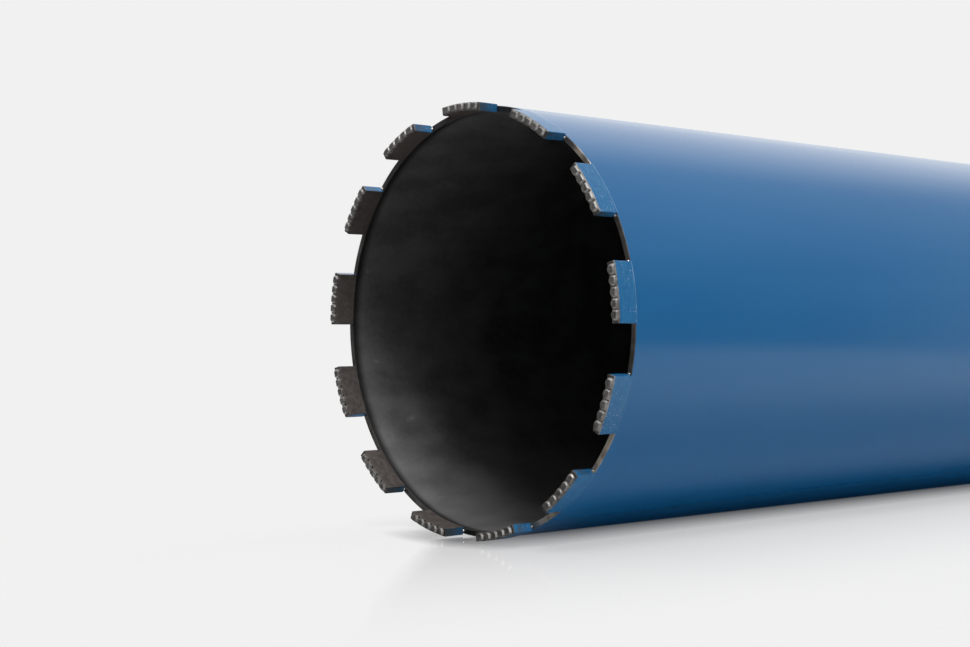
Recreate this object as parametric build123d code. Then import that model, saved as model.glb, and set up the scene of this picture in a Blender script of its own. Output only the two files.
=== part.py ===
"""Wet diamond core bit, 182 mm cutting diameter.

Row frame: millimetres, +Z along the bit's axis from the crown to the hub.
The bit stands on its crown: the button tips are at Z = 0 and the axis is at
X = Y = 0.  Segment 01 is centred on +X and the count goes towards +Y.
"""

import os
from math import cos, degrees, radians, sin, sqrt

from build123d import *

# ---- driving dimensions -------------------------------------------------
CUT_R = 91.0  # outer radius over the segments
SEG_COUNT = 13
SEG_LEN = 24.0  # arc length along the outer radius
SEG_T = 3.5  # radial thickness
SEG_BODY = 10.1  # crown face to the tube's end

BTN_COUNT = 5
BTN_PITCH = 4.42  # along the mean radius
BTN_H = 0.9  # full height of a button
BTN_FOOT = 4.2  # length of its foot along the crown
BTN_TOP = 2.8  # length of its flat top
BTN_LEDGE = 0.1  # crown left flat between a foot and the segment's faces
BTN_LEAN_OUT = 0.4  # how far its outer flank leans in at the top
BTN_LEAN_IN = 0.15  # and its inner flank
BTN_CORNER_OUT = 0.4  # how far its outer corners are cut back, foot and top
BTN_CORNER_IN = 1.0  # and its inner corners

SIDE_STEP = 0.6  # how far a segment stands proud of the tube outside
WALL = 2.5  # tube wall
DEPTH = 450.0  # crown tips to the end plate's inner face

PLATE_T = 8.0  # flange of the end plate, outside the tube
SPIGOT_L = 4.0  # part of the plate inside the tube
SPIGOT_GAP = 0.1
GROOVE = 1.8  # weld groove, along the tube and into the plate's corner

COLLAR_R = 27.0
COLLAR_H = 5.0
HUB_R = 23.5
HUB_H = 34.0  # above the collar
HUB_SPIGOT_R = 20.0
FLATS = 41.0  # across the spanner flats
FLAT_H = 22.0
THREAD_MINOR_R = 14.1  # 1 1/4"-7 UNC tapping size
MOUTH_CHAMFER = 2.0
HUB_EDGE = 1.0
FILLET_LEG = 4.0  # weld round the collar

# ---- derived ------------------------------------------------------------
MEAN_R = CUT_R - SEG_T / 2
HALF_SEG = degrees(SEG_LEN / CUT_R / 2)
TUBE_R = CUT_R - SIDE_STEP
TUBE_Z0 = BTN_H + SEG_BODY
TUBE_Z1 = DEPTH + SPIGOT_L
PLATE_TOP = TUBE_Z1 + PLATE_T
HUB_TOP = PLATE_TOP + COLLAR_H + HUB_H


def polar(r, deg):
    return (r * cos(radians(deg)), r * sin(radians(deg)))


def turned(points):
    """A solid turned round the axis from a closed (radius, height) outline."""
    outline = make_face(Polyline(*[(r, 0, z) for r, z in points], close=True))
    return revolve(outline, Axis.Z, 360)


def sector(r_in, r_out, half_deg, z0, z1):
    """A curved block centred on +X."""
    a, b = -half_deg, half_deg
    outer = ThreePointArc(polar(r_out, a), (r_out, 0), polar(r_out, b))
    inner = ThreePointArc(polar(r_in, b), (r_in, 0), polar(r_in, a))
    ends = [
        Line(polar(r_out, b), polar(r_in, b)),
        Line(polar(r_in, a), polar(r_out, a)),
    ]
    face = make_face([outer, inner, *ends])
    return Pos(0, 0, z0) * extrude(face, z1 - z0)


def ridge(foot, top, turn=0):
    """A long flat-topped ridge, its foot at Z = BTN_H and its top at Z = 0.

    Foot and top are each two reaches, on the low and the high side of its
    section, which lies along +Y and is then turned towards +X.
    """
    outline = [
        (0, -foot[0], BTN_H),
        (0, foot[1], BTN_H),
        (0, top[1], 0),
        (0, -top[0], 0),
    ]
    bar = extrude(make_face(Polyline(*outline, close=True)), BTN_FOOT, both=True)
    return Rot(0, 0, -turn) * bar


def button():
    """A blunt block pointing down, +X outwards, with sloping flanks."""
    wide = SEG_T / 2 - BTN_LEDGE
    foot = (wide, wide)
    top = (wide - BTN_LEAN_IN, wide - BTN_LEAN_OUT)
    corner = (BTN_CORNER_IN, BTN_CORNER_OUT)
    corner_foot = [(foot[i] + BTN_FOOT / 2 - corner[i]) / sqrt(2) for i in (0, 1)]
    corner_top = [(top[i] + BTN_TOP / 2 - corner[i]) / sqrt(2) for i in (0, 1)]
    body = ridge((BTN_FOOT / 2, BTN_FOOT / 2), (BTN_TOP / 2, BTN_TOP / 2))
    body = body & ridge(foot, top, 90)
    for turn in (45, 135):
        body = body & ridge(corner_foot, corner_top, turn)
    return body


def crown_segment():
    """A curved block with a row of buttons on its crown face."""
    body = sector(CUT_R - SEG_T, CUT_R, HALF_SEG, BTN_H, TUBE_Z0)
    one = button()
    step = degrees(BTN_PITCH / MEAN_R)
    first = -(BTN_COUNT - 1) / 2
    for i in range(BTN_COUNT):
        body = body + Rot(0, 0, (first + i) * step) * Pos(MEAN_R, 0, 0) * one
    return body


def barrel_tube():
    """Plain tube, its top outer corner chamfered for the weld."""
    r_in = TUBE_R - WALL
    return turned(
        [
            (r_in, TUBE_Z0),
            (TUBE_R, TUBE_Z0),
            (TUBE_R, TUBE_Z1 - GROOVE),
            (TUBE_R - GROOVE, TUBE_Z1),
            (r_in, TUBE_Z1),
        ]
    )


def end_plate():
    r_spigot = TUBE_R - WALL - SPIGOT_GAP
    return turned(
        [
            (HUB_SPIGOT_R, DEPTH),
            (r_spigot, DEPTH),
            (r_spigot, TUBE_Z1),
            (TUBE_R - GROOVE, TUBE_Z1),
            (TUBE_R, TUBE_Z1 + GROOVE),
            (TUBE_R, PLATE_TOP - HUB_EDGE),
            (TUBE_R - HUB_EDGE, PLATE_TOP),
            (HUB_SPIGOT_R, PLATE_TOP),
        ]
    )


def end_plate_weld():
    """The V groove filled, with a low crown standing proud."""
    bead = 0.05  # clear of the groove's faces
    proud = SIDE_STEP * 0.75
    return turned(
        [
            (TUBE_R - GROOVE + 2 * bead, TUBE_Z1),
            (TUBE_R, TUBE_Z1 - GROOVE + 2 * bead),
            (TUBE_R + proud, TUBE_Z1 - GROOVE * 0.4),
            (TUBE_R + proud, TUBE_Z1 + GROOVE * 0.4),
            (TUBE_R, TUBE_Z1 + GROOVE - 2 * bead),
        ]
    )


def spindle_hub():
    """Turned hub with a through bore, a collar on the plate and two flats."""
    c = MOUTH_CHAMFER
    body = turned(
        [
            (THREAD_MINOR_R, DEPTH),
            (HUB_SPIGOT_R - 0.05, DEPTH),
            (HUB_SPIGOT_R - 0.05, PLATE_TOP),
            (COLLAR_R, PLATE_TOP),
            (COLLAR_R, PLATE_TOP + COLLAR_H - HUB_EDGE),
            (COLLAR_R - HUB_EDGE, PLATE_TOP + COLLAR_H),
            (HUB_R, PLATE_TOP + COLLAR_H),
            (HUB_R, HUB_TOP - HUB_EDGE),
            (HUB_R - HUB_EDGE, HUB_TOP),
            (THREAD_MINOR_R + c, HUB_TOP),
            (THREAD_MINOR_R, HUB_TOP - c),
        ]
    )
    z_mid = HUB_TOP - FLAT_H / 2
    over = 1.0  # cutters run past the top face
    for side in (1, -1):
        depth = HUB_R
        x = side * (FLATS / 2 + depth / 2)
        cutter = Pos(x, 0, z_mid + over / 2) * Box(depth, 4 * HUB_R, FLAT_H + over)
        body = body - cutter
    return body


def hub_weld():
    """Fillet bead round the collar's foot."""
    gap = 0.05
    r0 = COLLAR_R + gap
    leg = FILLET_LEG
    return turned(
        [
            (r0, PLATE_TOP),
            (r0 + leg, PLATE_TOP),
            (r0, PLATE_TOP + leg),
        ]
    )


os.makedirs("parts", exist_ok=True)


def save(shape, node):
    export_step(shape, f"parts/{node}.step")


save(barrel_tube(), "barrel_tube")
one_segment = crown_segment()
for k in range(SEG_COUNT):
    save(Rot(0, 0, 360 / SEG_COUNT * k) * one_segment, f"segment_{k + 1:02d}")
save(end_plate(), "end_plate")
save(end_plate_weld(), "end_plate_weld")
save(spindle_hub(), "spindle_hub")
save(hub_weld(), "hub_weld")
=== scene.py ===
import math

import bpy
from mathutils import Matrix, Vector


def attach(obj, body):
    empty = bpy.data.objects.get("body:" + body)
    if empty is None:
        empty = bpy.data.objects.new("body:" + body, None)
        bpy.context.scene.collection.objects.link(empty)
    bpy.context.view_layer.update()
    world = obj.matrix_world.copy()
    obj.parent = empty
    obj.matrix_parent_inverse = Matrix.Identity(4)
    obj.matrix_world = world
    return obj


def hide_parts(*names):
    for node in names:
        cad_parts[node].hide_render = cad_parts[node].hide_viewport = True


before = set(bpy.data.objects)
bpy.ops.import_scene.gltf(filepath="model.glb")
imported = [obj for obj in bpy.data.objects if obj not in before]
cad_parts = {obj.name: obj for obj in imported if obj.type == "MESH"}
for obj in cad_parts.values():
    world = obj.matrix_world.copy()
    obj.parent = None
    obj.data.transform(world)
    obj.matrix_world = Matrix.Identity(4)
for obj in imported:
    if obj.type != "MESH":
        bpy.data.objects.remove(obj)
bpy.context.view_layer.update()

# ---- sizes, in metres, as in the part's source -----------------------------
CUT_R = 0.0910
SEG_COUNT = 13
SEG_LEN = 0.0240
SEG_T = 0.0035
CROWN_Z = 0.0009  # plane that the buttons stand on
BUTTON_HIGH = 0.0009
BUTTON_PITCH = 0.00442
BUTTON_FOOT = 0.0042
BUTTON_TOP = 0.0028
BUTTON_LEDGE = 0.0001  # from a button's foot to the segment's faces
RIM_Z = 0.0110  # tube's open end
TUBE_R = 0.0904
BORE_R = 0.0879
TUBE_TOP = 0.4540
PLATE_TOP = 0.4620
DEPTH = 0.4500  # inside of the end plate
GROOVE = 0.0018  # weld groove between tube and plate
SPIGOT_R = 0.0878
HUB_SPIGOT_R = 0.0200
COLLAR_R = 0.0270
COLLAR_TOP = 0.4670
HUB_R = 0.0235
HUB_TOP = 0.5010
FLAT_HALF = 0.0205
FLAT_Z = 0.4790
MINOR_R = 0.0141
MAJOR_R = 0.015875
THREAD_PITCH = 0.0036286
PITCH_ANGLE = 2 * math.pi / SEG_COUNT

# ---- how the bit lies in front of the camera --------------------------------
TOP_SEGMENT = 2  # uppermost when the bit lies on the lying floor
TOP_ANGLE = (TOP_SEGMENT - 1) * PITCH_ANGLE
UP_ANGLE = TOP_ANGLE + math.radians(0.31)
UP = Vector((math.cos(UP_ANGLE), math.sin(UP_ANGLE), 0))
NEAR = Vector((-math.sin(UP_ANGLE), math.cos(UP_ANGLE), 0))
ALONG = Vector((0, 0, 1))

# ---- places on the crown: segments round from the uppermost, reach in degrees
# places of the rim's painted highlights
RIM_HIGHLIGHT_PLACES = ((5.0, 26), (1.65, 7))
# where the bore has dust and a painted pool of light
DUST_AND_LIGHT_PLACE = (6.3, 60)
CHIPPED_PLACE = (2.25, 16)
# where the light line at the segments' foot is mostly a painted highlight
FOOT_HIGHLIGHT_PLACE = (1.5, 56)
DARK_END_PLACE = (7.2, 36)

# ---- colours, linear ----------------------------------------------------------
PAINT = (0.0068, 0.104, 0.268)
PAINT_WORN = (0.0085, 0.112, 0.280)
PAINT_DRAWN = (0.016, 0.125, 0.30)  # faint streaks along the tube
PAINT_RUB = (0.10, 0.19, 0.31)
PAINT_DOT = (0.25, 0.33, 0.42)
PAINT_SCRATCH = (0.16, 0.26, 0.38)
PAINT_GROUND = (0.040, 0.215, 0.33)  # grinding lines on the segments
PAINT_CHIP = (0.42, 0.50, 0.58)
# a light line at the segment's foot: partly edge wear, partly a painted highlight
PAINT_FOOT_WEAR_AND_HIGHLIGHT = (0.33, 0.50, 0.68)  # where a segment meets the tube
PAINT_GREYED = (0.050, 0.060, 0.066)
# darker tone for the ends round one place
PAINT_DARK_END = (0.040, 0.052, 0.058)
BORE_DARK, BORE_LIGHT = (0.225, 0.222, 0.224), (0.335, 0.332, 0.335)
BORE_SCALE = (0.44, 0.44, 0.445)
BORE_SMEAR = (0.70, 0.69, 0.68)
# dust tone in the bore that is also a painted pool of light
BORE_DUST_AND_LIGHT = (0.58, 0.58, 0.59)
# painted shade far into the bore
BORE_DEEP_SHADE = (0.02, 0.02, 0.02)
# painted shade band inside the bore next to the rim
BORE_RIM_SHADE = (0.020, 0.018, 0.017)
RIM_DARK, RIM_LIGHT = (0.040, 0.035, 0.031), (0.21, 0.198, 0.185)
# tan painted highlight on the bare rim
RIM_HIGHLIGHT = (0.66, 0.58, 0.49)
SINTER_DARK, SINTER_LIGHT = (0.130, 0.126, 0.121), (0.245, 0.238, 0.230)
# painted shade in the grooves between the buttons
SINTER_GROOVE_SHADE = (0.045, 0.042, 0.040)
SINTER_SHOULDER = (0.52, 0.508, 0.495)
SINTER_GRIT = (0.62, 0.60, 0.56)
SINTER_RUBBED = (0.50, 0.49, 0.47)
BROWN_DARK, BROWN_LIGHT = (0.068, 0.057, 0.051), (0.092, 0.079, 0.072)
BROWN_GRIT = (0.30, 0.28, 0.26)
STEEL_DARK, STEEL_LIGHT = (0.31, 0.305, 0.30), (0.42, 0.415, 0.41)
STEEL_BORE = (0.20, 0.19, 0.18)
BRAZE_DARK, BRAZE_LIGHT = (0.52, 0.49, 0.45), (0.80, 0.78, 0.74)
PALE = 0.88  # background and floors
FLOOR_GLOSS = (0.84, 0.84, 0.84)

FLOAT, VECTOR, COLOUR = "NodeSocketFloat", "NodeSocketVector", "NodeSocketColor"
MATERIAL, GEOMETRY, INTEGER = "NodeSocketMaterial", "NodeSocketGeometry", "NodeSocketInt"


# ---- small helpers ----------------------------------------------------------
def connect(tree, socket, value):
    """Link a socket, or set it; a colour of three numbers gets its alpha."""
    if isinstance(value, bpy.types.NodeSocket):
        tree.links.new(value, socket)
    elif socket.type == "RGBA" and len(value) == 3:
        socket.default_value = (*value, 1)
    else:
        socket.default_value = value


def add(tree, kind, inputs=None, **settings):
    """A node with its settings made and its inputs linked or set."""
    node = tree.nodes.new(kind)
    for key, value in settings.items():
        setattr(node, key, value)
    for key, value in (inputs or {}).items():
        connect(tree, node.inputs[key], value)
    return node


def calc(tree, operation, *values):
    return add(tree, "ShaderNodeMath", dict(enumerate(values)), operation=operation).outputs[0]


def product(tree, first, *others):
    """The values multiplied, left to right."""
    for other in others:
        first = calc(tree, "MULTIPLY", first, other)
    return first


def largest(tree, first, *others):
    for other in others:
        first = calc(tree, "MAXIMUM", first, other)
    return first


def ramp(tree, value, low, high, to_low=0.0, to_high=1.0, smooth=True):
    """value carried from low..high to to_low..to_high."""
    node = add(
        tree,
        "ShaderNodeMapRange",
        {0: value, 1: low, 2: high, 3: to_low, 4: to_high},
        interpolation_type="SMOOTHSTEP" if smooth else "LINEAR",
    )
    return node.outputs[0]


def tint(tree, under, over, *shares):
    """Colour under, covered by colour over where the shares' product is 1."""
    inputs = {0: product(tree, *shares), 6: under, 7: over}
    return add(tree, "ShaderNodeMix", inputs, data_type="RGBA").outputs[2]


def blend(tree, factor, under, over):
    """Number under, replaced by number over where factor is 1."""
    inputs = {0: factor, 2: under, 3: over}
    return add(tree, "ShaderNodeMix", inputs, data_type="FLOAT").outputs[0]


def mix_shaders(tree, factor, under, over):
    """Shader under, replaced by shader over where factor is 1."""
    return add(tree, "ShaderNodeMixShader", {0: factor, 1: under, 2: over}).outputs[0]


def grain(tree, place, scale, detail=3.0, roughness=0.55):
    inputs = {"Vector": place, "Scale": scale, "Detail": detail, "Roughness": roughness}
    return add(tree, "ShaderNodeTexNoise", inputs).outputs[0]


def stretched(tree, place, scale):
    return add(tree, "ShaderNodeMapping", {"Vector": place, "Scale": scale}).outputs[0]


def joined(tree, x=0.0, y=0.0, z=0.0):
    return add(tree, "ShaderNodeCombineXYZ", {0: x, 1: y, 2: z}).outputs[0]


def vector_number(tree, operation, *vectors):
    """The number that a vector operation gives, such as a length."""
    inputs = dict(enumerate(vectors))
    return add(tree, "ShaderNodeVectorMath", inputs, operation=operation).outputs["Value"]


def dot(tree, a, b):
    return vector_number(tree, "DOT_PRODUCT", a, b)


def new_group(name, inputs, outputs, kind="ShaderNodeTree"):
    """An empty group and its inner sockets; inputs and outputs are (name, kind, value)."""
    group = bpy.data.node_groups.new(name, kind)
    for side, rows in (("INPUT", inputs), ("OUTPUT", outputs)):
        for label, socket_type, *value in rows:
            socket = group.interface.new_socket(label, in_out=side, socket_type=socket_type)
            if value:
                socket.default_value = value[0]
    source = group.nodes.new("NodeGroupInput")
    sink = group.nodes.new("NodeGroupOutput")
    return group, source.outputs, sink.inputs


def use_group(tree, group, **inputs):
    """The outputs of a shared group, its inputs given by name."""
    named = {key.capitalize(): value for key, value in inputs.items()}
    return add(tree, "ShaderNodeGroup", named, node_tree=group).outputs


def new_material(name):
    """An empty material, its tree, and the place and normal in the bit's space."""
    material = bpy.data.materials.new(name)
    material.use_nodes = True
    tree = material.node_tree
    tree.nodes.clear()
    own = tree.nodes.new("ShaderNodeTexCoord").outputs
    return material, tree, own["Object"], own["Normal"]


# ---- shared effects -----------------------------------------------------------
def make_round_place():
    """Radius, height, and arc offset from the nearest segment's middle."""
    group, given, out = new_group(
        "round_place",
        [("Place", VECTOR)],
        [("Radius", FLOAT), ("Height", FLOAT), ("Arc", FLOAT), ("Outward", VECTOR)],
    )
    x, y, z = add(group, "ShaderNodeSeparateXYZ", {0: given["Place"]}).outputs
    flat = joined(group, x, y)
    outward = add(group, "ShaderNodeVectorMath", {0: flat}, operation="NORMALIZE").outputs[0]
    share = calc(group, "MULTIPLY_ADD", calc(group, "ARCTAN2", y, x), 1 / PITCH_ANGLE, 0.5)
    offset = calc(group, "SUBTRACT", calc(group, "FLOORED_MODULO", share, 1.0), 0.5)
    group.links.new(vector_number(group, "LENGTH", flat), out["Radius"])
    group.links.new(z, out["Height"])
    group.links.new(product(group, offset, PITCH_ANGLE * CUT_R), out["Arc"])
    group.links.new(outward, out["Outward"])
    return group


def make_crown_place():
    """1 within half of Reach degrees of a place on the crown, 0 beyond Reach.

    Place counts segments round from the uppermost one.
    """
    group, given, out = new_group(
        "crown_place",
        [("Outward", VECTOR), ("Place", FLOAT, 0.0), ("Reach", FLOAT, 30.0)],
        [("Mask", FLOAT)],
    )
    angle = calc(group, "MULTIPLY_ADD", given["Place"], PITCH_ANGLE, TOP_ANGLE)
    toward = joined(group, calc(group, "COSINE", angle), calc(group, "SINE", angle))
    reach = calc(group, "RADIANS", given["Reach"])
    none = calc(group, "COSINE", reach)
    full = calc(group, "COSINE", product(group, reach, 0.5))
    mask = ramp(group, dot(group, given["Outward"], toward), none, full)
    group.links.new(mask, out["Mask"])
    return group


def make_specks():
    """Sparse small chips or dust grains, 1 on each."""
    group, given, out = new_group(
        "specks",
        [("Place", VECTOR), ("Scale", FLOAT, 900.0), ("Size", FLOAT, 0.2), ("Share", FLOAT, 0.2)],
        [("Mask", FLOAT)],
    )
    cells = add(group, "ShaderNodeTexVoronoi", {"Vector": given["Place"], "Scale": given["Scale"]})
    near = calc(group, "LESS_THAN", cells.outputs["Distance"], given["Size"])
    pick = add(group, "ShaderNodeSeparateColor", {0: cells.outputs["Color"]}).outputs[0]
    chosen = calc(group, "LESS_THAN", pick, given["Share"])
    group.links.new(product(group, near, chosen), out["Mask"])
    return group


def make_scratches():
    """Thin broken lines along the place's Z after it is stretched."""
    group, given, out = new_group(
        "scratches",
        [("Place", VECTOR), ("Scale", FLOAT, 60.0), ("Amount", FLOAT, 0.3)],
        [("Mask", FLOAT)],
    )
    lines = grain(group, stretched(group, given["Place"], (14, 14, 1)), given["Scale"], 2.0)
    thin = calc(group, "ABSOLUTE", calc(group, "SUBTRACT", lines, 0.5))
    line = ramp(group, thin, 0.0, 0.012, 1.0, 0.0)
    gate = grain(group, given["Place"], given["Scale"], 2.0)
    highest = 0.75
    broken = ramp(group, gate, calc(group, "SUBTRACT", highest, given["Amount"]), highest)
    group.links.new(product(group, line, broken), out["Mask"])
    return group


def make_surface_grain():
    """A bump height and a tone, both uneven at two sizes."""
    group, given, out = new_group(
        "surface_grain",
        [("Place", VECTOR), ("Coarse", FLOAT, 120.0), ("Fine", FLOAT, 1500.0)],
        [("Height", FLOAT), ("Tone", FLOAT)],
    )
    coarse = grain(group, given["Place"], given["Coarse"], 3.0)
    fine = grain(group, given["Place"], given["Fine"], 2.0)
    group.links.new(calc(group, "MULTIPLY_ADD", fine, 0.4, coarse), out["Height"])
    group.links.new(ramp(group, coarse, 0.3, 0.7), out["Tone"])
    return group


def make_blue_paint():
    """The paint's own colour, worn a little where the tone is high."""
    group, given, out = new_group(
        "blue_paint", [("Tone", FLOAT), ("Share", FLOAT, 1.0)], [("Colour", COLOUR)]
    )
    colour = tint(group, PAINT, PAINT_WORN, given["Tone"], given["Share"])
    group.links.new(colour, out["Colour"])
    return group


ROUND_PLACE = make_round_place()
CROWN_PLACE = make_crown_place()
SPECKS = make_specks()
SCRATCHES = make_scratches()
SURFACE_GRAIN = make_surface_grain()
BLUE_PAINT = make_blue_paint()


def near_place(tree, outward, crown_place):
    """Mask round one of the places listed at the top."""
    place, reach = crown_place
    return use_group(tree, CROWN_PLACE, outward=outward, place=place, reach=reach)["Mask"]


# ---- finishes -------------------------------------------------------------------
def shade(tree, base, roughness, metallic, bump):
    """One Principled surface; bump is a height, a strength and a distance."""
    height, strength, distance = bump
    rough = add(
        tree, "ShaderNodeBump", {"Height": height, "Strength": strength, "Distance": distance}
    ).outputs[0]
    surface = add(
        tree, "ShaderNodeBsdfPrincipled",
        {"Base Color": base, "Roughness": roughness, "Metallic": metallic, "Normal": rough},
    ).outputs[0]
    add(tree, "ShaderNodeOutputMaterial", {0: surface})


def outside_paint(tree, place, tone):
    """Sprayed paint, a little uneven along the tube, with a few light rubs.

    Its colour, roughness and relief.
    """
    peel = grain(tree, place, 420.0, 1.0)
    drawn = grain(tree, stretched(tree, place, (1, 1, 0.08)), 110.0, 3.0)
    rubs = use_group(tree, SCRATCHES, place=place, scale=40.0, amount=0.10)["Mask"]
    dots = use_group(tree, SPECKS, place=place, scale=120.0, size=0.05, share=0.02)["Mask"]
    colour = use_group(tree, BLUE_PAINT, tone=tone, share=0.5)["Colour"]
    colour = tint(tree, colour, PAINT_DRAWN, ramp(tree, drawn, 0.3, 0.8, 0.0, 0.14))
    colour = tint(tree, colour, PAINT_RUB, rubs, 0.10)
    colour = tint(tree, colour, PAINT_DOT, dots, 0.25)
    return colour, ramp(tree, drawn, 0.3, 0.8, 0.17, 0.21), peel


def bore_steel(tree, place, height, outward):
    """Heat-darkened mill steel, smeared near the mouth, with dust and a painted pool of light on
    one side, painted shade further in, and a painted shade band along the rim.

    Its colour, roughness and relief.
    """
    film = grain(tree, stretched(tree, place, (1, 1, 0.6)), 70.0, 5.0)
    scale = grain(tree, place, 420.0, 3.0)
    streaks = grain(tree, stretched(tree, place, (1, 1, 0.5)), 150.0, 2.0)
    smears = ramp(tree, streaks, 0.66, 0.78, 0.0, 0.40)
    near_mouth = ramp(tree, height, 0.02, 0.09, 1.0, 0.0)
    # dust and a painted pool of light on the bore's lower side
    dust_and_light = near_place(tree, outward, DUST_AND_LIGHT_PLACE)
    # painted shade, darker further into the bore
    deep_shade = ramp(tree, height, 0.03, 0.12, 0.0, 0.45)
    # painted shade: a dark band on the bore next to the rim
    rim_band_shade = ramp(tree, height, RIM_Z + 0.0008, RIM_Z + 0.0055, 1.0, 0.0)
    colour = tint(tree, BORE_DARK, BORE_LIGHT, ramp(tree, film, 0.30, 0.70))
    colour = tint(tree, colour, BORE_SCALE, ramp(tree, scale, 0.45, 0.75, 0.0, 0.22))
    colour = tint(tree, colour, BORE_SMEAR, smears, near_mouth)
    colour = tint(tree, colour, BORE_DUST_AND_LIGHT, dust_and_light, 0.30)
    colour = tint(tree, colour, BORE_DEEP_SHADE, deep_shade)
    colour = tint(tree, colour, BORE_RIM_SHADE, rim_band_shade, 0.85)
    return colour, ramp(tree, film, 0.3, 0.7, 0.49, 0.54), product(tree, scale, 6.0)


def bare_rim(tree, place, outward):
    """Colour of the stained rim, with a tan painted highlight at two places."""
    patches = ramp(tree, grain(tree, place, 45.0, 4.0), 0.35, 0.68)
    stains = ramp(tree, grain(tree, place, 160.0, 2.0), 0.35, 0.60, 0.25, 0.95)
    # painted highlights on the rim at two places
    rim_highlight = largest(tree, *(near_place(tree, outward, one) for one in RIM_HIGHLIGHT_PLACES))
    colour = tint(tree, RIM_DARK, RIM_LIGHT, patches)
    return tint(tree, colour, RIM_HIGHLIGHT, rim_highlight, stains)


def make_tube_finish():
    """Blue paint outside, bare turned rim, dark bore."""
    material, tree, place, normal = new_material("tube_paint_finish")
    spot = use_group(tree, ROUND_PLACE, place=place)
    height, outward = spot["Height"], spot["Outward"]
    surface = use_group(tree, SURFACE_GRAIN, place=place, coarse=25.0, fine=700.0)
    paint, glossy, peel = outside_paint(tree, place, surface["Tone"])
    bore, matt, scale = bore_steel(tree, place, height, outward)
    rim = bare_rim(tree, place, outward)

    outside = calc(tree, "GREATER_THAN", spot["Radius"], TUBE_R - 0.0004)
    paint_edge = calc(tree, "MULTIPLY_ADD", grain(tree, place, 700.0), 0.0002, RIM_Z + 0.0001)
    below = calc(tree, "LESS_THAN", height, paint_edge)
    facing = calc(tree, "LESS_THAN", dot(tree, normal, tuple(ALONG)), -0.8)
    at_rim = product(tree, below, largest(tree, facing, outside))
    colour = tint(tree, tint(tree, bore, paint, outside), rim, at_rim)
    roughness = blend(tree, at_rim, blend(tree, outside, matt, glossy), 0.38)
    metallic = blend(tree, outside, 0.95, product(tree, at_rim, 0.8))
    shade(tree, colour, roughness, metallic, (blend(tree, outside, scale, peel), 0.03, 0.0002))
    return material


def sintered_metal(tree, place, height, tone, faces_out, faces_down):
    """Dark flats, grooves darkened by painted shade, shoulders rubbed bright, a brown inner face.

    Its colour, roughness and metallic, and the mask of the inner face.
    """
    grit = use_group(tree, SPECKS, place=place, scale=1500.0, size=0.30, share=0.20)["Mask"]
    # painted shade on the groove floors between the buttons
    groove = product(
        tree,
        ramp(tree, faces_down, 0.85, 0.97),
        ramp(tree, height, CROWN_Z - 0.0004, CROWN_Z - 0.0001),
    )
    shoulder = product(
        tree,
        ramp(tree, faces_down, 0.95, 0.85),
        ramp(tree, faces_down, 0.35, 0.50),
        ramp(tree, calc(tree, "ABSOLUTE", faces_out), 0.18, 0.48, 1.0, 0.2),
        ramp(tree, height, CROWN_Z, CROWN_Z - 0.0003),
    )
    rubbed = product(
        tree,
        ramp(tree, faces_out, 0.5, 0.9),
        ramp(tree, height, CROWN_Z, CROWN_Z + 0.0002),
    )
    body = tint(tree, SINTER_DARK, SINTER_LIGHT, tone)
    body = tint(tree, body, SINTER_GROOVE_SHADE, groove, 0.6)
    body = tint(tree, body, SINTER_SHOULDER, shoulder, ramp(tree, tone, 0.0, 1.0, 0.40, 0.80))
    body = tint(tree, body, SINTER_GRIT, grit, 0.45)
    body = tint(tree, body, SINTER_RUBBED, rubbed, ramp(tree, tone, 0.0, 1.0, 0.05, 0.35))
    brown = tint(tree, BROWN_DARK, BROWN_LIGHT, tone)
    brown = tint(tree, brown, BROWN_GRIT, grit, 0.25)
    inner = ramp(tree, faces_out, -0.7, -0.45, 1.0, 0.0)
    colour = tint(tree, body, brown, inner)
    roughness = blend(tree, shoulder, ramp(tree, tone, 0.0, 1.0, 0.42, 0.56), 0.40)

    # the buttons' flanks and the inner face look less metallic than the rest
    flank = product(
        tree,
        ramp(tree, faces_down, 0.97, 0.88),
        ramp(tree, height, CROWN_Z + 0.0003, CROWN_Z),
    )
    metallic = calc(tree, "MULTIPLY_ADD", flank, -0.45, 0.9)
    metallic = largest(tree, calc(tree, "MULTIPLY_ADD", inner, -0.7, metallic), 0.2)
    return colour, roughness, metallic, inner


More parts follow.
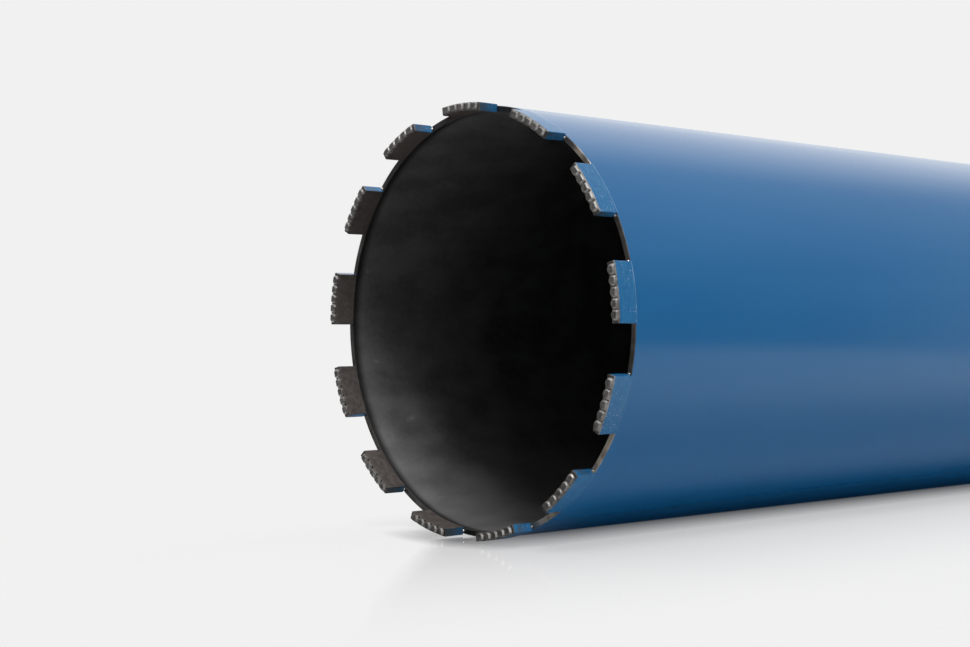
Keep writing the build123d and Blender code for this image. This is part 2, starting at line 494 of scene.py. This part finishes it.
def segment_paint(tree, place, spot, tone, faces_out):
    """Paint of the outer face and the ends: grinding lines, chips, a light line at each segment's
    foot that is partly a painted highlight, and darker ends at one place.
    """
    height, outward = spot["Height"], spot["Outward"]
    flat_arc, flat_radius = product(tree, spot["Arc"], 0.07), product(tree, spot["Radius"], 0.5)
    line_place = joined(tree, height, flat_arc, flat_radius)
    ground = ramp(tree, grain(tree, line_place, 2600.0, 3.0), 0.42, 0.72)
    patch = ramp(tree, grain(tree, place, 130.0, 2.0), 0.42, 0.62)
    scratch = use_group(tree, SCRATCHES, place=place, scale=210.0, amount=0.36)["Mask"]
    chips = use_group(tree, SPECKS, place=place, scale=1300.0, size=0.26, share=0.20)["Mask"]
    chipped = largest(tree, patch, near_place(tree, outward, CHIPPED_PLACE))
    worn = largest(tree, product(tree, scratch, 0.40), product(tree, chips, chipped, 0.7))
    # light line at the segment's foot: faint edge wear all round, with a painted highlight on the
    # upper side
    foot_wear_and_highlight = product(
        tree,
        ramp(tree, height, RIM_Z - 0.00035, RIM_Z - 0.00015),
        ramp(tree, faces_out, 0.4, 0.8),
        ramp(tree, near_place(tree, outward, FOOT_HIGHLIGHT_PLACE), 0.0, 1.0, 0.12, 1.0),
    )
    colour = use_group(tree, BLUE_PAINT, tone=tone, share=1.0)["Colour"]
    colour = tint(tree, colour, PAINT_GROUND, ground, 0.40)
    colour = tint(tree, colour, PAINT_CHIP, worn)
    colour = tint(tree, colour, PAINT_FOOT_WEAR_AND_HIGHLIGHT, foot_wear_and_highlight, ramp(tree, patch, 0.0, 1.0, 0.45, 0.95))

    # the ends are greyed toward the crown, and darker round one place
    end = ramp(tree, faces_out, 0.5, 0.2)
    greyed = ramp(tree, height, RIM_Z - 0.001, CROWN_Z + 0.001, 0.1, 0.8)
    end_darkening = ramp(tree, height, RIM_Z - 0.002, CROWN_Z + 0.003, 0.60, 0.92)
    dark_end_place = near_place(tree, outward, DARK_END_PLACE)
    colour = tint(tree, colour, PAINT_GREYED, end, greyed, patch)
    return tint(tree, colour, PAINT_DARK_END, end, dark_end_place, end_darkening)


def make_segment_finish():
    """Sintered metal: bare crown and inner face, paint elsewhere."""
    material, tree, place, normal = new_material("segment_finish")
    spot = use_group(tree, ROUND_PLACE, place=place)
    height = spot["Height"]
    faces_out = dot(tree, normal, spot["Outward"])
    faces_down = product(tree, dot(tree, normal, tuple(ALONG)), -1.0)
    surface = use_group(tree, SURFACE_GRAIN, place=place, coarse=420.0, fine=2600.0)
    tone = surface["Tone"]
    paint = segment_paint(tree, place, spot, tone, faces_out)
    body, matt, metallic, inner = sintered_metal(
        tree, place, height, tone, faces_out, faces_down
    )

    # bare are the inner face, whatever faces down, and an uneven edge at the crown
    edge = calc(tree, "MULTIPLY_ADD", tone, 0.00014, 0.00156)
    crown = ramp(tree, height, edge, calc(tree, "ADD", edge, 0.00006), 1.0, 0.0)
    bare = largest(tree, inner, ramp(tree, faces_down, 0.25, 0.5), crown)
    colour = tint(tree, paint, body, bare)
    roughness = blend(tree, bare, 0.24, matt)
    strength = blend(tree, bare, 0.05, 0.25)
    metallic = product(tree, bare, metallic)
    shade(tree, colour, roughness, metallic, (surface["Height"], strength, 0.0002))
    return material


def make_plate_finish():
    """The same paint on the end plate and the welds."""
    material, tree, place, _ = new_material("plate_paint_finish")
    surface = use_group(tree, SURFACE_GRAIN, place=place, coarse=70.0, fine=900.0)
    spot = use_group(tree, ROUND_PLACE, place=place)
    turning = grain(tree, spot["Radius"], 900.0, 2.0)
    scratch = use_group(tree, SCRATCHES, place=place, scale=55.0, amount=0.2)["Mask"]
    paint = use_group(tree, BLUE_PAINT, tone=surface["Tone"], share=0.3)["Colour"]
    paint = tint(tree, paint, PAINT_SCRATCH, scratch, 0.3)
    roughness = ramp(tree, surface["Tone"], 0.0, 1.0, 0.28, 0.36)
    relief = calc(tree, "MULTIPLY_ADD", turning, 0.5, surface["Height"])
    shade(tree, paint, roughness, 0.0, (relief, 0.10, 0.0004))
    return material


def make_steel_finish():
    """Turned bare steel of the hub, darker in the thread."""
    material, tree, place, _ = new_material("hub_steel_finish")
    surface = use_group(tree, SURFACE_GRAIN, place=place, coarse=160.0, fine=1800.0)
    spot = use_group(tree, ROUND_PLACE, place=place)
    lines = grain(tree, stretched(tree, place, (1, 1, 60)), 60.0, 3.0)
    in_bore = ramp(tree, spot["Radius"], MAJOR_R, MAJOR_R + 0.0004, 1.0, 0.0)
    colour = tint(tree, STEEL_DARK, STEEL_LIGHT, surface["Tone"])
    colour = tint(tree, colour, STEEL_BORE, in_bore, 0.45)
    roughness = ramp(tree, lines, 0.3, 0.7, 0.46, 0.60)
    relief = calc(tree, "MULTIPLY_ADD", lines, 0.6, surface["Height"])
    shade(tree, colour, roughness, 1.0, (relief, 0.08, 0.0003))
    return material


def make_braze_finish():
    """Bright braze metal left in the corners."""
    material, tree, place, _ = new_material("braze_finish")
    surface = use_group(tree, SURFACE_GRAIN, place=place, coarse=900.0, fine=3000.0)
    colour = tint(tree, BRAZE_DARK, BRAZE_LIGHT, surface["Tone"])
    shade(tree, colour, 0.3, 0.9, (surface["Height"], 0.3, 0.0002))
    return material


TUBE_FINISH = make_tube_finish()
SEGMENT_FINISH = make_segment_finish()
PLATE_FINISH = make_plate_finish()
STEEL_FINISH = make_steel_finish()
BRAZE_FINISH = make_braze_finish()


# ---- pieces ---------------------------------------------------------------------
def finished(mesh, name, material, nodes=(), sharp=30):
    """A mesh made a piece that rides on the bit and stands for its CAD nodes."""
    mesh.materials.clear()
    mesh.materials.append(material)
    mesh.shade_smooth()
    mesh.set_sharp_from_angle(angle=math.radians(sharp))
    piece = bpy.data.objects.new(name, mesh)
    bpy.context.scene.collection.objects.link(piece)
    if nodes:
        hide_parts(*nodes)
    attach(piece, "root")


def turned(name, outline, steps=360, shape=None):
    """A ring turned from a closed outline; shape may move each point."""
    points, faces = [], []
    count = len(outline)
    for j in range(steps):
        angle = 2 * math.pi * j / steps
        for r, z in outline:
            x, y = r * math.cos(angle), r * math.sin(angle)
            points.append(shape(x, y, z, r, angle) if shape else (x, y, z))
    for j in range(steps):
        k = (j + 1) % steps
        for i in range(count):
            m = (i + 1) % count
            faces.append((j * count + i, k * count + i, k * count + m, j * count + m))
    mesh = bpy.data.meshes.new(name)
    mesh.from_pydata(points, [], faces)
    mesh.validate()
    return mesh


def barrel():
    """Thin tube with broken edges and its half of the weld groove."""
    edge = 0.00025
    outline = [
        (BORE_R, RIM_Z + edge),
        (BORE_R + edge, RIM_Z),
        (TUBE_R - edge, RIM_Z),
        (TUBE_R, RIM_Z + edge),
        (TUBE_R, TUBE_TOP - GROOVE),
        (TUBE_R - GROOVE, TUBE_TOP),
        (BORE_R, TUBE_TOP),
    ]
    return turned("barrel", outline)


def closing_plate():
    """Turned disc with its spigot, its half of the weld groove and an edge break."""
    edge = 0.001
    bevel = 0.3 * edge
    outline = [
        (HUB_SPIGOT_R, DEPTH),
        (SPIGOT_R, DEPTH),
        (SPIGOT_R, TUBE_TOP),
        (TUBE_R - GROOVE, TUBE_TOP),
        (TUBE_R, TUBE_TOP + GROOVE),
        (TUBE_R, PLATE_TOP - edge),
        (TUBE_R - bevel, PLATE_TOP - bevel),
        (TUBE_R - edge, PLATE_TOP),
        (HUB_SPIGOT_R, PLATE_TOP),
    ]
    return turned("closing_plate", outline)


def weld_bead(name, outline, ripples, depth):
    """A bead whose surface shows the stacked pools of a hand weld."""
    fullness, mean_wave, unsteady, steps = 0.6, 0.7, 0.12, 6

    def pools(x, y, z, r, angle):
        wave = abs(math.sin(angle * ripples / 2)) ** fullness
        wander = math.sin(angle * 7) + math.sin(angle * 17 + 1.0)
        gain = 1 + (depth * (wave - mean_wave) + unsteady * depth * wander) / r
        return (x * gain, y * gain, z)

    return turned(name, outline, ripples * steps, pools)


def hub():
    """Turned hub with its flats and a real helical thread in the bore."""
    chamfer, edge, play = 0.002, 0.001, 0.00005
    outside = [
        (MINOR_R, DEPTH),
        (HUB_SPIGOT_R - play, DEPTH),
        (HUB_SPIGOT_R - play, PLATE_TOP),
        (COLLAR_R, PLATE_TOP),
        (COLLAR_R, COLLAR_TOP - edge),
        (COLLAR_R - edge, COLLAR_TOP),
        (HUB_R, COLLAR_TOP),
        (HUB_R, FLAT_Z),
        (HUB_R, FLAT_Z + 0.0002),
        (HUB_R, HUB_TOP - edge),
        (HUB_R - edge, HUB_TOP),
        (MINOR_R + chamfer, HUB_TOP),
    ]
    rings = 14  # to each turn of the thread
    bore_top = HUB_TOP - chamfer * 0.1
    span = bore_top - DEPTH
    count = int(span / THREAD_PITCH * rings)
    bore = [(MINOR_R, bore_top - span * i / count) for i in range(1, count)]
    crest, flank_share, run_out = 0.15, 0.7, 0.003

    def cut(x, y, z, r, angle):
        if z > FLAT_Z + 0.0001 and r > MAJOR_R + 0.001:
            x = max(-FLAT_HALF, min(FLAT_HALF, x))
        if r == MINOR_R and DEPTH < z < HUB_TOP:
            turn = (z / THREAD_PITCH - angle / (2 * math.pi)) % 1.0
            flank = min(1.0, max(0.0, (abs(turn - 0.5) * 2 - crest) / flank_share))
            fade = min(1.0, (z - DEPTH) / run_out)
            wide = MINOR_R + (MAJOR_R - MINOR_R) * flank * fade
            wide = max(wide, MINOR_R + chamfer - (HUB_TOP - z))
            x, y = x * wide / r, y * wide / r
        return (x, y, z)

    return turned("hub", outside + bore, 180, cut)


def finish_off(tree, geometry, material, result):
    """Real geometry with its material set, as the group's result."""
    real = add(tree, "GeometryNodeRealizeInstances", {0: geometry}).outputs[0]
    done = add(tree, "GeometryNodeSetMaterial", {"Geometry": real, "Material": material})
    tree.links.new(done.outputs[0], result)


def segment_former():
    """Geometry nodes that form one curved segment with its crown buttons."""
    tree, given, out = new_group(
        "segment_former",
        [
            ("Middle Angle", FLOAT, 0.0),
            ("Outer Radius", FLOAT, CUT_R),
            ("Arc Length", FLOAT, SEG_LEN),
            ("Thickness", FLOAT, SEG_T),
            ("Crown Plane", FLOAT, CROWN_Z),
            ("Base Plane", FLOAT, RIM_Z),
            ("Edge Round", FLOAT, 0.00022),
            ("Button Pitch", FLOAT, BUTTON_PITCH),
            ("Button Foot", FLOAT, BUTTON_FOOT),
            ("Button Top", FLOAT, BUTTON_TOP),
            ("Button Ledge", FLOAT, BUTTON_LEDGE),
            ("Lean Outside", FLOAT, 0.0004),
            ("Lean Inside", FLOAT, 0.00015),
            ("Corner Outside", FLOAT, 0.0004),
            ("Corner Inside", FLOAT, 0.0010),
            ("Button Height", FLOAT, BUTTON_HIGH),
            ("Wear", FLOAT, 0.00006),
            ("Seed", FLOAT, 0.0),
            ("Finish", MATERIAL),
        ],
        [("Geometry", GEOMETRY)],
        "GeometryNodeTree",
    )

    def halved(value):
        return calc(tree, "MULTIPLY", value, 0.5)

    def less(first, *others):
        for other in others:
            first = calc(tree, "SUBTRACT", first, other)
        return first

    def vec(operation, a, b=None, scale=None):
        inputs = {0: a}
        if b is not None:
            inputs[1] = b
        if scale is not None:
            inputs["Scale"] = scale
        return add(tree, "ShaderNodeVectorMath", inputs, operation=operation).outputs[0]

    tall = less(given["Base Plane"], given["Crown Plane"])
    size = joined(tree, given["Thickness"], given["Arc Length"], tall)
    block = add(
        tree, "GeometryNodeMeshCube",
        {"Size": size, "Vertices X": 19, "Vertices Y": 121, "Vertices Z": 14},
    ).outputs["Mesh"]
    place = tree.nodes.new("GeometryNodeInputPosition").outputs[0]

    # rounded edges: points are drawn on to a smaller block grown by the radius
    edge = joined(tree, given["Edge Round"], given["Edge Round"], given["Edge Round"])
    half = vec("SUBTRACT", vec("SCALE", size, scale=0.5), edge)
    kept = vec("MINIMUM", vec("MAXIMUM", place, vec("SCALE", half, scale=-1.0)), half)
    away = vec("NORMALIZE", vec("SUBTRACT", place, kept))
    rounded = vec("ADD", kept, vec("SCALE", away, scale=given["Edge Round"]))
    through, sideways, upward = add(tree, "ShaderNodeSeparateXYZ", {0: rounded}).outputs
    before = add(tree, "ShaderNodeSeparateXYZ", {0: place}).outputs

    # buttons: the nearest of five, its three pairs of sloping flanks
    share = calc(tree, "DIVIDE", sideways, given["Button Pitch"])
    nearest = calc(tree, "MAXIMUM", calc(tree, "ROUND", share), -2.0)
    nearest = calc(tree, "MINIMUM", nearest, 2.0)
    middle = calc(tree, "MULTIPLY", nearest, given["Button Pitch"])
    beside = calc(tree, "ABSOLUTE", less(sideways, middle))
    across = calc(tree, "ABSOLUTE", through)
    corner = calc(tree, "ADD", beside, across)
    outer = calc(tree, "GREATER_THAN", through, 0.0)
    lean = blend(tree, outer, given["Lean Inside"], given["Lean Outside"])
    cut = blend(tree, outer, given["Corner Inside"], given["Corner Outside"])
    foot, top = halved(given["Button Foot"]), halved(given["Button Top"])
    wide = less(halved(given["Thickness"]), given["Button Ledge"])
    narrow = less(wide, lean)
    corner_foot = less(calc(tree, "ADD", foot, wide), cut)
    corner_top = less(calc(tree, "ADD", top, narrow), cut)
    rise = ramp(tree, beside, foot, top, smooth=False)
    for reach, low, high in ((across, wide, narrow), (corner, corner_foot, corner_top)):
        flank = ramp(tree, reach, low, high, smooth=False)
        rise = calc(tree, "SMOOTH_MIN", rise, flank, 0.08)
    rise = calc(tree, "ADD", rise, ramp(tree, rise, 0.0, 1.0))
    rise = calc(tree, "MULTIPLY", rise, halved(given["Button Height"]))

    # wear, and nothing off the crown
    shift = joined(tree, given["Seed"], given["Seed"], nearest)
    uneven = grain(tree, vec("ADD", vec("SCALE", rounded, scale=900.0), shift), 1.0, 2.0)
    worn = calc(tree, "MULTIPLY", uneven, given["Wear"])
    on_crown = calc(tree, "LESS_THAN", before[2], calc(tree, "MULTIPLY", tall, -0.499))
    rise = calc(tree, "MULTIPLY", calc(tree, "MULTIPLY_ADD", worn, -1.0, rise), on_crown)

    # bend the block round the axis
    radius = calc(tree, "ADD", less(given["Outer Radius"], halved(given["Thickness"])), through)
    turn = calc(tree, "DIVIDE", sideways, given["Outer Radius"])
    angle = calc(tree, "ADD", given["Middle Angle"], turn)
    lift = calc(tree, "MULTIPLY_ADD", tall, 0.5, given["Crown Plane"])
    bent = joined(
        tree,
        calc(tree, "MULTIPLY", radius, calc(tree, "COSINE", angle)),
        calc(tree, "MULTIPLY", radius, calc(tree, "SINE", angle)),
        less(calc(tree, "ADD", upward, lift), rise),
    )
    moved = add(tree, "GeometryNodeSetPosition", {"Geometry": block, "Position": bent}).outputs[0]
    finish_off(tree, moved, given["Finish"], out["Geometry"])
    return tree


def braze_dropper():
    """Geometry nodes that drop a braze bead on each point of a mesh."""
    tree, given, out = new_group(
        "braze_dropper",
        [
            ("Geometry", GEOMETRY),
            ("Smallest", FLOAT, 0.00040),
            ("Largest", FLOAT, 0.00075),
            ("Uneven", FLOAT, 0.0007),
            ("Seed", INTEGER, 4),
            ("Finish", MATERIAL),
        ],
        [("Geometry", GEOMETRY)],
        "GeometryNodeTree",
    )
    points = add(tree, "GeometryNodeMeshToPoints", {"Mesh": given["Geometry"]}).outputs[0]
    ball = add(tree, "GeometryNodeMeshIcoSphere", {"Radius": 1.0, "Subdivisions": 3})
    size = add(
        tree, "FunctionNodeRandomValue",
        {2: given["Smallest"], 3: given["Largest"], "Seed": given["Seed"]},
        data_type="FLOAT",
    ).outputs[1]
    placed = add(
        tree, "GeometryNodeInstanceOnPoints",
        {"Points": points, "Instance": ball.outputs["Mesh"], "Scale": size},
    ).outputs[0]
    real = add(tree, "GeometryNodeRealizeInstances", {0: placed}).outputs[0]
    noise = grain(tree, tree.nodes.new("GeometryNodeInputPosition").outputs[0], 900.0, 1.0)
    swell = calc(tree, "MULTIPLY", calc(tree, "SUBTRACT", noise, 0.5), given["Uneven"])
    push = add(
        tree, "ShaderNodeVectorMath",
        {0: tree.nodes.new("GeometryNodeInputNormal").outputs[0], "Scale": swell},
        operation="SCALE",
    ).outputs[0]
    shaped = add(tree, "GeometryNodeSetPosition", {"Geometry": real, "Offset": push}).outputs[0]
    finish_off(tree, shaped, given["Finish"], out["Geometry"])
    return tree


def formed(tree, name, values, start=()):
    """The plain mesh that a geometry node tree makes from points and values."""
    seed_mesh = bpy.data.meshes.new(name + "_start")
    seed_mesh.from_pydata([tuple(p) for p in start], [], [])
    holder = bpy.data.objects.new(name + "_start", seed_mesh)
    bpy.context.scene.collection.objects.link(holder)
    modifier = holder.modifiers.new("former", "NODES")
    modifier.node_group = tree
    for item in tree.interface.items_tree:
        if item.in_out == "INPUT" and item.name in values:
            modifier[item.identifier] = values[item.name]
    depsgraph = bpy.context.evaluated_depsgraph_get()
    mesh = bpy.data.meshes.new_from_object(holder.evaluated_get(depsgraph))
    mesh.name = name
    bpy.data.objects.remove(holder)
    return mesh


def polar(radius, angle, z):
    return Vector((radius * math.cos(angle), radius * math.sin(angle), z))


finished(barrel(), "barrel", TUBE_FINISH, ["barrel_tube"])
finished(closing_plate(), "closing_plate", PLATE_FINISH, ["end_plate"])
finished(hub(), "turned_hub", STEEL_FINISH, ["spindle_hub"], sharp=24)

SET_IN = 0.0001  # keeps the rim weld's foot inside its groove
PROUD, SHOULDER, HALF_WIDE = 0.00040, 0.00025, 0.0011
RIM_WELD = [
    (TUBE_R - GROOVE + SET_IN, TUBE_TOP),
    (TUBE_R - SET_IN, TUBE_TOP - GROOVE + SET_IN),
    (TUBE_R + SHOULDER, TUBE_TOP - HALF_WIDE),
    (TUBE_R + PROUD, TUBE_TOP),
    (TUBE_R + SHOULDER, TUBE_TOP + HALF_WIDE),
    (TUBE_R - SET_IN, TUBE_TOP + GROOVE - SET_IN),
]
FILLET = ((0.0, 0.0), (0.0038, 0.0), (0.0030, 0.0015), (0.0016, 0.0029), (0.0, 0.0037))
COLLAR_WELD = [(COLLAR_R + out, PLATE_TOP + up) for out, up in FILLET]
for name, outline, ripples, depth, node in (
    ("rim_weld", RIM_WELD, 260, 0.00025, "end_plate_weld"),
    ("collar_weld", COLLAR_WELD, 84, 0.00035, "hub_weld"),
):
    bead = weld_bead(name, outline, ripples, depth)
    finished(bead, name, PLATE_FINISH, [node], sharp=60)

SEED_STEP = 3.7  # each segment's wear differs
former = segment_former()
for k in range(SEG_COUNT):
    node = f"segment_{k + 1:02d}"
    values = {"Middle Angle": k * PITCH_ANGLE, "Seed": SEED_STEP * k, "Finish": SEGMENT_FINISH}
    mesh = formed(former, "crown_" + node, values)
    finished(mesh, "crown_" + node, SEGMENT_FINISH, [node], sharp=50)

# braze squeezed out at some ends, counted round from the uppermost segment
BEAD_R = 0.0893
END_ANGLE = (SEG_LEN / 2 + 0.0002) / CUT_R
corners = []
for side, places in ((-1, range(3, 9)), (1, (1, 2, 11, 12))):
    for place in places:
        angle = TOP_ANGLE + place * PITCH_ANGLE + side * END_ANGLE
        corners.append(polar(BEAD_R, angle, RIM_Z - 0.0001))
beads = formed(braze_dropper(), "braze_beads", {"Finish": BRAZE_FINISH}, corners)
finished(beads, "braze_beads", BRAZE_FINISH, sharp=80)


# ---- stage ----------------------------------------------------------------------
def stage_plane(name, middle, across, upward, material):
    """A square whose face looks along across x upward."""
    signs = ((-1, -1), (1, -1), (1, 1), (-1, 1))
    mesh = bpy.data.meshes.new(name)
    mesh.from_pydata([middle + a * across + b * upward for a, b in signs], [], [(0, 1, 2, 3)])
    mesh.materials.append(material)
    plane = bpy.data.objects.new(name, mesh)
    bpy.context.scene.collection.objects.link(plane)


def lying_contact(tree, rays, depth, along):
    """Painted shadow on the lying floor: how light it is near the line where the bit touches it."""
    past_end = calc(tree, "SUBTRACT", along, TUBE_TOP)
    off_end = largest(tree, product(tree, along, -2.0), past_end, 0.0)
    off_side = largest(tree, depth, product(tree, depth, -0.8))
    off_line = vector_number(tree, "LENGTH", joined(tree, off_side, off_end))
    darkest = ramp(tree, along, 0.0, 0.05, 0.25, 0.05)
    contact_shadow = ramp(tree, off_line, 0.0, 0.037, darkest, 1.0, smooth=False)
    # painted shade for the light that the floor bounces near the bit
    bounced = ramp(tree, calc(tree, "ABSOLUTE", depth), 0.0, 0.10, 0.3, 1.0)
    return blend(tree, rays["Is Diffuse Ray"], contact_shadow, bounced)


def lying_mirror(tree, rays, depth):
    """How light the lying floor is where the bit's paint mirrors it: painted shade, darker near the
    bit.
    """
    off = calc(tree, "ABSOLUTE", depth)
    close = ramp(tree, off, 0.036, 0.056, 0.0, 0.38)
    far = ramp(tree, off, 0.085, 0.17, 0.0, 0.50)
    return blend(tree, rays["Is Glossy Ray"], 1.0, calc(tree, "ADD", close, far))


def with_polish(tree, surface, depth, along):
    """Gloss beside the bit that shows at a low angle only."""
    beside = calc(tree, "POWER", ramp(tree, depth, 0.0, 0.185, 1.0, 0.0, smooth=False), 1.6)
    slant = calc(tree, "MULTIPLY_ADD", depth, 1.08, along)
    polished = ramp(tree, slant, -0.022, -0.002, 0.0, 0.40)
    fresnel = add(tree, "ShaderNodeFresnel", {"IOR": 1.45}).outputs[0]
    strength = product(tree, beside, polished, ramp(tree, fresnel, 0.27, 0.35))
    gloss = add(tree, "ShaderNodeBsdfGlossy", {"Color": FLOOR_GLOSS, "Roughness": 0.03}).outputs[0]
    return mix_shaders(tree, strength, surface, gloss)


def make_floor_finish(name, middle, full, gone, lying):
    """Pale floor, seen from its front only, that fades out from full to gone.

    The lying floor has a faint polish beside the bit, glossy along its length
    and matt from above, and lets part of the room's light through; the standing
    floor shows itself to the eye alone.
    """
    material, tree, place, _ = new_material(name)
    rays = tree.nodes.new("ShaderNodeLightPath").outputs
    back = tree.nodes.new("ShaderNodeNewGeometry").outputs["Backfacing"]
    away = vector_number(tree, "DISTANCE", place, tuple(middle))
    depth = dot(tree, place, tuple(NEAR))
    shown = ramp(tree, away, full, gone, 1.0, 0.0)
    shown = product(tree, shown, calc(tree, "SUBTRACT", 1.0, back))
    if lying:
        along = dot(tree, place, tuple(ALONG))
        # painted shade on the floor, seen in the bit's paint
        mirror = lying_mirror(tree, rays, depth)
        contact_shadow = lying_contact(tree, rays, depth, along)
    else:
        mirror = 1.0
        # painted shadow round the foot of the standing bit
        contact_shadow = ramp(tree, away, 0.080, 0.140, 0.72, 1.0)

    # part lit by the lamps, and for the eye mostly the background's own tone
    seen_tone = ramp(tree, depth, -0.07, 0.0, 0.54, 0.64)
    tone = blend(tree, rays["Is Diffuse Ray"], seen_tone, PALE)
    # the painted shadow near the bit darkens the floor's tone and its glow
    tone = product(tree, mirror, tone, contact_shadow)
    grey = add(tree, "ShaderNodeCombineColor", {0: tone, 1: tone, 2: tone}).outputs[0]
    lit = add(tree, "ShaderNodeBsdfDiffuse", {"Color": grey}).outputs[0]
    glow = add(
        tree, "ShaderNodeEmission", {"Color": (PALE, PALE, PALE), "Strength": contact_shadow}
    ).outputs[0]
    surface = mix_shaders(tree, product(tree, rays["Is Camera Ray"], 0.80), lit, glow)
    if lying:
        surface = with_polish(tree, surface, depth, along)
        soft = largest(tree, rays["Is Diffuse Ray"], rays["Is Shadow Ray"])
        shown = product(tree, shown, calc(tree, "MULTIPLY_ADD", soft, -0.25, 1.0))
        # to the eye it runs out a little way beyond the bit
        beyond = ramp(tree, depth, -0.10, -0.03, 1.0, 0.0)
        beyond = product(tree, beyond, rays["Is Camera Ray"])
        shown = product(tree, shown, calc(tree, "SUBTRACT", 1.0, beyond))
    else:
        shown = product(tree, shown, rays["Is Camera Ray"])
    clear = add(tree, "ShaderNodeBsdfTransparent").outputs[0]
    add(tree, "ShaderNodeOutputMaterial", {0: mix_shaders(tree, shown, clear, surface)})
    return material


LYING_MIDDLE = -CUT_R * UP + 0.06 * NEAR + 0.30 * ALONG
LYING_HALF = 0.7
STANDING_MIDDLE = Vector((0, 0, -0.0001))
STANDING_HALF = 1.2
stage_plane(
    "lying_floor", LYING_MIDDLE, LYING_HALF * NEAR, LYING_HALF * ALONG,
    make_floor_finish("lying_floor_finish", LYING_MIDDLE, full=0.24, gone=0.58, lying=True),
)
stage_plane(
    "standing_floor", STANDING_MIDDLE, Vector((STANDING_HALF, 0, 0)), Vector((0, STANDING_HALF, 0)),
    make_floor_finish("standing_floor_finish", Vector(), full=0.30, gone=0.95, lying=False),
)


def make_studio():
    """A world that lights the bit softly and is one pale tone to the eye."""
    world = bpy.data.worlds.new("studio")
    bpy.context.scene.world = world
    world.use_nodes = True
    tree = world.node_tree
    tree.nodes.clear()
    way = tree.nodes.new("ShaderNodeTexCoord").outputs["Generated"]
    rise, near, along = (dot(tree, way, tuple(axis)) for axis in (UP, NEAR, ALONG))
    above = ramp(tree, rise, 0.0, 0.8, 0.17, 0.62)
    behind = product(
        tree, ramp(tree, near, 0.30, -0.35), ramp(tree, along, -0.5, -0.05), 1.08
    )
    below = ramp(tree, rise, -0.1, -0.6, 0.0, 0.85)
    beyond = ramp(tree, along, 0.72, 1.0, 0.0, 1.0)
    before = ramp(tree, along, 0.1, -0.5, 0.0, 0.12)
    light = largest(tree, above, behind, below, beyond, before)
    room = add(tree, "ShaderNodeBackground", {"Color": (1, 1, 1), "Strength": light}).outputs[0]
    seen = add(
        tree, "ShaderNodeBackground", {"Color": (PALE, PALE, PALE), "Strength": 1.0}
    ).outputs[0]
    eye = tree.nodes.new("ShaderNodeLightPath").outputs["Is Camera Ray"]
    add(tree, "ShaderNodeOutputWorld", {0: mix_shaders(tree, eye, room, seen)})


def soft_sun(name, source, spread, level):
    """Even light from one side; level is what a white face square to it shows."""
    source = source.normalized()
    lamp = bpy.data.lights.new(name, "SUN")
    lamp.angle = math.radians(spread)
    lamp.energy = level * math.pi
    holder = bpy.data.objects.new(name, lamp)
    holder.rotation_mode = "QUATERNION"
    holder.rotation_quaternion = (-source).to_track_quat("-Z", "Y")
    holder.location = 2.0 * source
    bpy.context.scene.collection.objects.link(holder)


make_studio()
soft_sun("key_light", 0.87 * UP + 0.46 * NEAR - 0.18 * ALONG, spread=22, level=0.82)
soft_sun("fill_light", 0.15 * UP + 0.62 * NEAR - 0.77 * ALONG, spread=80, level=0.07)

# ---- camera: level with the lying bit's axis and turned off it ------------------
TURN_OFF = math.radians(48.56)
ROLL = math.radians(0.217)
LENS, SENSOR = 59.695, 36.0
CAMERA_AT = -0.00074 * UP + 0.50830 * NEAR - 0.43414 * ALONG
forward = -math.sin(TURN_OFF) * NEAR + math.cos(TURN_OFF) * ALONG
right = math.cos(TURN_OFF) * NEAR + math.sin(TURN_OFF) * ALONG
level_right = right * math.cos(ROLL) + UP * math.sin(ROLL)
level_up = UP * math.cos(ROLL) - right * math.sin(ROLL)
facing = Matrix((level_right, level_up, -forward)).transposed().to_4x4()
camera = bpy.data.objects.new("camera", bpy.data.cameras.new("camera"))
camera.data.lens = LENS
camera.data.sensor_width = SENSOR
camera.data.clip_start = 0.01
camera.matrix_world = Matrix.Translation(CAMERA_AT) @ facing
bpy.context.scene.collection.objects.link(camera)
bpy.context.scene.camera = camera
bpy.context.scene.view_settings.view_transform = "Standard"
